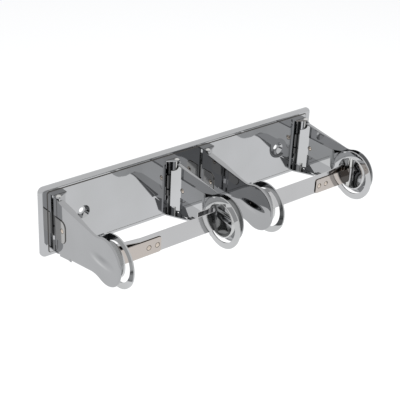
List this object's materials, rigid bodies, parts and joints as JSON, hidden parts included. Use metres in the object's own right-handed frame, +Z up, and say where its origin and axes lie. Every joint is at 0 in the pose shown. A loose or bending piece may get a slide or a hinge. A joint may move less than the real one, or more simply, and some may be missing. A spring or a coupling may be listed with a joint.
{
  "type": "toilet paper dispenser",
  "caption": "Wall-mounted chromed steel toilet tissue dispenser: wide plate, sprung arms with roll rings, and swivelling flat bars that carry the rolls side by side.",
  "frame": {"origin": "midway between the two wall screw holes, in the plane of the wall", "axes": "+X to the right along the plate, -Y out of the wall towards the user, +Z up"},
  "size_m": [0.324, 0.114, 0.07],
  "materials": {
    "polished_chrome": "mirror-polished chrome plating on sheet steel",
    "bar_chrome": "bright chrome plating, light rolling marks along the strip",
    "pin_steel": "turned and plated pin",
    "rivet_steel": "plated rivet heads, slightly warm and worn",
    "spring_steel": "drawn spring wire"
  },
  "bodies": {
    "wall_plate": {"back_plate": "polished_chrome", "left_outer_hinge_bracket": "polished_chrome", "left_outer_hinge_pin": "pin_steel", "left_outer_hinge_spring": "spring_steel", "left_inner_hinge_bracket": "polished_chrome", "left_inner_hinge_pin": "pin_steel", "left_inner_hinge_spring": "spring_steel", "right_inner_hinge_bracket": "polished_chrome", "right_inner_hinge_pin": "pin_steel", "right_inner_hinge_spring": "spring_steel", "right_outer_hinge_bracket": "polished_chrome", "right_outer_hinge_pin": "pin_steel", "right_outer_hinge_spring": "spring_steel"},
    "left_outer_arm_body": {"left_outer_hinge_leaf": "polished_chrome", "left_outer_arm": "polished_chrome", "left_outer_arm_rivet": "rivet_steel", "left_outer_ring_bracket": "polished_chrome", "left_outer_hub_cup": "polished_chrome", "left_cross_pin": "pin_steel"},
    "left_inner_arm_body": {"left_inner_hinge_leaf": "polished_chrome", "left_inner_arm": "polished_chrome", "left_inner_arm_rivet": "rivet_steel", "left_inner_ring_bracket": "polished_chrome", "left_inner_hub_cup": "polished_chrome"},
    "right_inner_arm_body": {"right_inner_hinge_leaf": "polished_chrome", "right_inner_arm": "polished_chrome", "right_inner_arm_rivet": "rivet_steel", "right_inner_ring_bracket": "polished_chrome", "right_inner_hub_cup": "polished_chrome"},
    "right_outer_arm_body": {"right_outer_hinge_leaf": "polished_chrome", "right_outer_arm": "polished_chrome", "right_outer_arm_rivet": "rivet_steel", "right_outer_ring_bracket": "polished_chrome", "right_outer_hub_cup": "polished_chrome", "right_cross_pin": "pin_steel"},
    "left_bar_body": {"left_roll_bar": "bar_chrome", "left_bar_rivets": "rivet_steel"},
    "right_bar_body": {"right_roll_bar": "bar_chrome", "right_bar_rivets": "rivet_steel"}
  },
  "joints": [
    {"name": "left_outer_arm_hinge", "type": "hinge", "parent": "wall_plate", "child": "left_outer_arm_body", "pos_m": [-0.1478, -0.0113, 0], "axis": [0, 0, -1], "range_deg": [0, 45], "stiffness_Nm_per_rad": 0.08, "springref_deg": -22.92, "deforming": ["left_outer_hinge_spring"]},
    {"name": "left_inner_arm_hinge", "type": "hinge", "parent": "wall_plate", "child": "left_inner_arm_body", "pos_m": [-0.0187, -0.0113, 0], "axis": [0, 0, 1], "range_deg": [0, 7], "stiffness_Nm_per_rad": 0.08, "springref_deg": -22.92, "deforming": ["left_inner_hinge_spring"]},
    {"name": "right_inner_arm_hinge", "type": "hinge", "parent": "wall_plate", "child": "right_inner_arm_body", "pos_m": [0.0187, -0.0113, 0], "axis": [0, 0, -1], "range_deg": [0, 7], "stiffness_Nm_per_rad": 0.08, "springref_deg": -22.92, "deforming": ["right_inner_hinge_spring"]},
    {"name": "right_outer_arm_hinge", "type": "hinge", "parent": "wall_plate", "child": "right_outer_arm_body", "pos_m": [0.1478, -0.0113, 0], "axis": [0, 0, 1], "range_deg": [0, 45], "stiffness_Nm_per_rad": 0.08, "springref_deg": -22.92, "deforming": ["right_outer_hinge_spring"]},
    {"name": "left_bar_swivel", "type": "hinge", "parent": "left_outer_arm_body", "child": "left_bar_body", "pos_m": [-0.144, -0.0825, -0.0005], "axis": [0, 0, -1], "range_deg": [0, 8]},
    {"name": "right_bar_swivel", "type": "hinge", "parent": "right_outer_arm_body", "child": "right_bar_body", "pos_m": [0.144, -0.0825, -0.0005], "axis": [0, 0, 1], "range_deg": [0, 8]}
  ]
}
